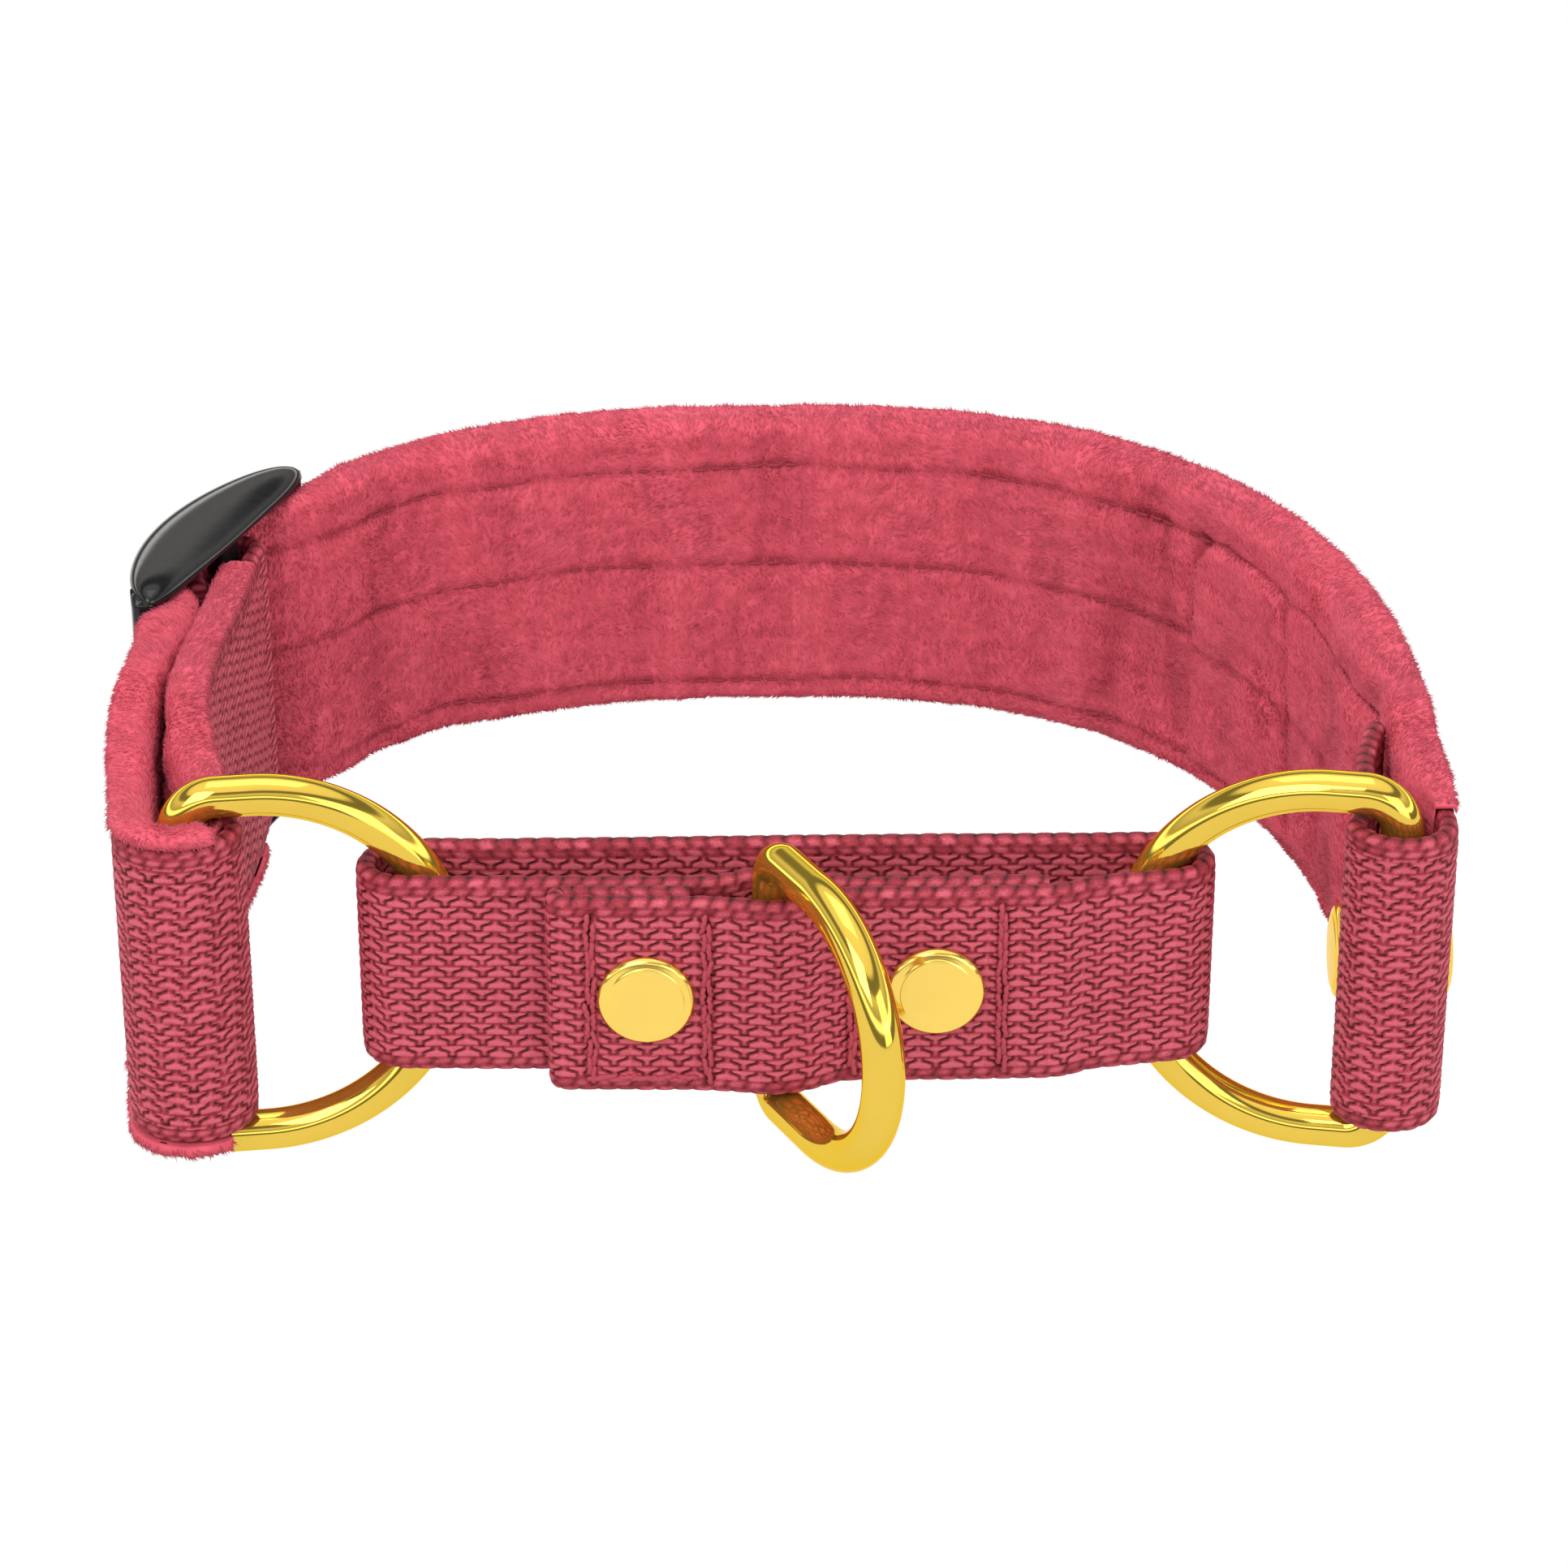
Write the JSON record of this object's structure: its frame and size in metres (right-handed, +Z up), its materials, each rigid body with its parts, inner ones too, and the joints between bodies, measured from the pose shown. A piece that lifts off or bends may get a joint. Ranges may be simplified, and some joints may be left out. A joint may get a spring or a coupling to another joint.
{
  "type": "martingale collar",
  "caption": "Plush-lined webbing collar with a slider and a ring at each end, closed by a control loop that tightens when the leash ring is pulled.",
  "frame": {"origin": "centre of the collar's bounding box, half-way up the band and inside the neck opening", "axes": "+Z up along the band's width, -Y towards the throat side where the leash ring hangs, +X towards the riveted end of the band"},
  "size_m": [0.1584, 0.1468, 0.0486],
  "materials": {
    "band_webbing": "ribbed woven nylon, soft satin",
    "control_webbing": "ribbed woven nylon, soft satin",
    "plush": "short-pile plush, matte with sheen",
    "foam": "matte foam interlining",
    "thread": "twisted polyester thread",
    "slider_plastic": "glossy moulded black plastic",
    "ring_gold": "polished gold plating",
    "rivet_gold": "bright gold plating"
  },
  "bodies": {
    "band_back": {"webbing_back": "band_webbing", "padding_back": "foam", "lining_back": "plush", "stitch_row_top_back": "thread", "stitch_row_middle_back": "thread", "stitch_row_bottom_back": "thread"},
    "left_side": {"webbing_left": "band_webbing", "lining_left": "plush"},
    "right_side": {"webbing_right": "band_webbing", "padding_right": "foam", "lining_right": "plush", "lining_end_patch": "plush", "rivet_cap_end_inner": "rivet_gold", "rivet_socket_end_outer": "rivet_gold"},
    "slider": {"tri_glide": "slider_plastic"},
    "left_ring": {"left_d_ring": "ring_gold"},
    "right_ring": {"right_d_ring": "ring_gold"},
    "control_loop": {"control_strap": "control_webbing", "rivet_cap_front_left": "rivet_gold", "rivet_socket_front_left": "rivet_gold", "rivet_cap_front_right": "rivet_gold", "rivet_socket_front_right": "rivet_gold", "stitch_fold": "thread", "stitch_left_of_ring": "thread", "stitch_right_of_ring": "thread", "stitch_end": "thread"},
    "leash_ring": {"leash_ring": "ring_gold"}
  },
  "joints": [
    {"name": "pull", "type": "slide", "parent": "band_back", "child": "control_loop", "axis": [0, -1, 0], "range_m": [0, 0.011]},
    {"name": "left_side_flex", "type": "hinge", "parent": "band_back", "child": "left_side", "pos_m": [-0.0471, 0.0548, 0], "axis": [0, 0, 1], "range_deg": [0, 7.34]},
    {"name": "right_side_flex", "type": "hinge", "parent": "band_back", "child": "right_side", "pos_m": [0.0533, 0.046, 0], "axis": [0, 0, -1], "range_deg": [0, 7.98]},
    {"name": "left_ring_swing", "type": "hinge", "parent": "left_side", "child": "left_ring", "pos_m": [-0.06664, -0.0457, 0], "axis": [0, 0, -1], "range_deg": [0, 26.59]},
    {"name": "right_ring_swing", "type": "hinge", "parent": "right_side", "child": "right_ring", "pos_m": [0.07156, -0.0449, 0], "axis": [0, 0, 1], "range_deg": [0, 27.23]},
    {"name": "leash_ring_swing", "type": "hinge", "parent": "control_loop", "child": "leash_ring", "pos_m": [0.00056, -0.0483, 0], "axis": [0, 0, 1], "range_deg": [-90, 40]},
    {"name": "slider_shift", "type": "hinge", "parent": "left_side", "child": "slider", "pos_m": [-0.03924, 0.0171, 0], "axis": [0, 0, 1], "range_deg": [-1.5, 1.5]}
  ],
  "couplings": [
    {"joint": "left_side_flex", "follows": "pull", "rad_per_m": 11.636},
    {"joint": "right_side_flex", "follows": "pull", "rad_per_m": 12.654},
    {"joint": "left_ring_swing", "follows": "pull", "rad_per_m": 42.179},
    {"joint": "right_ring_swing", "follows": "pull", "rad_per_m": 43.197}
  ]
}
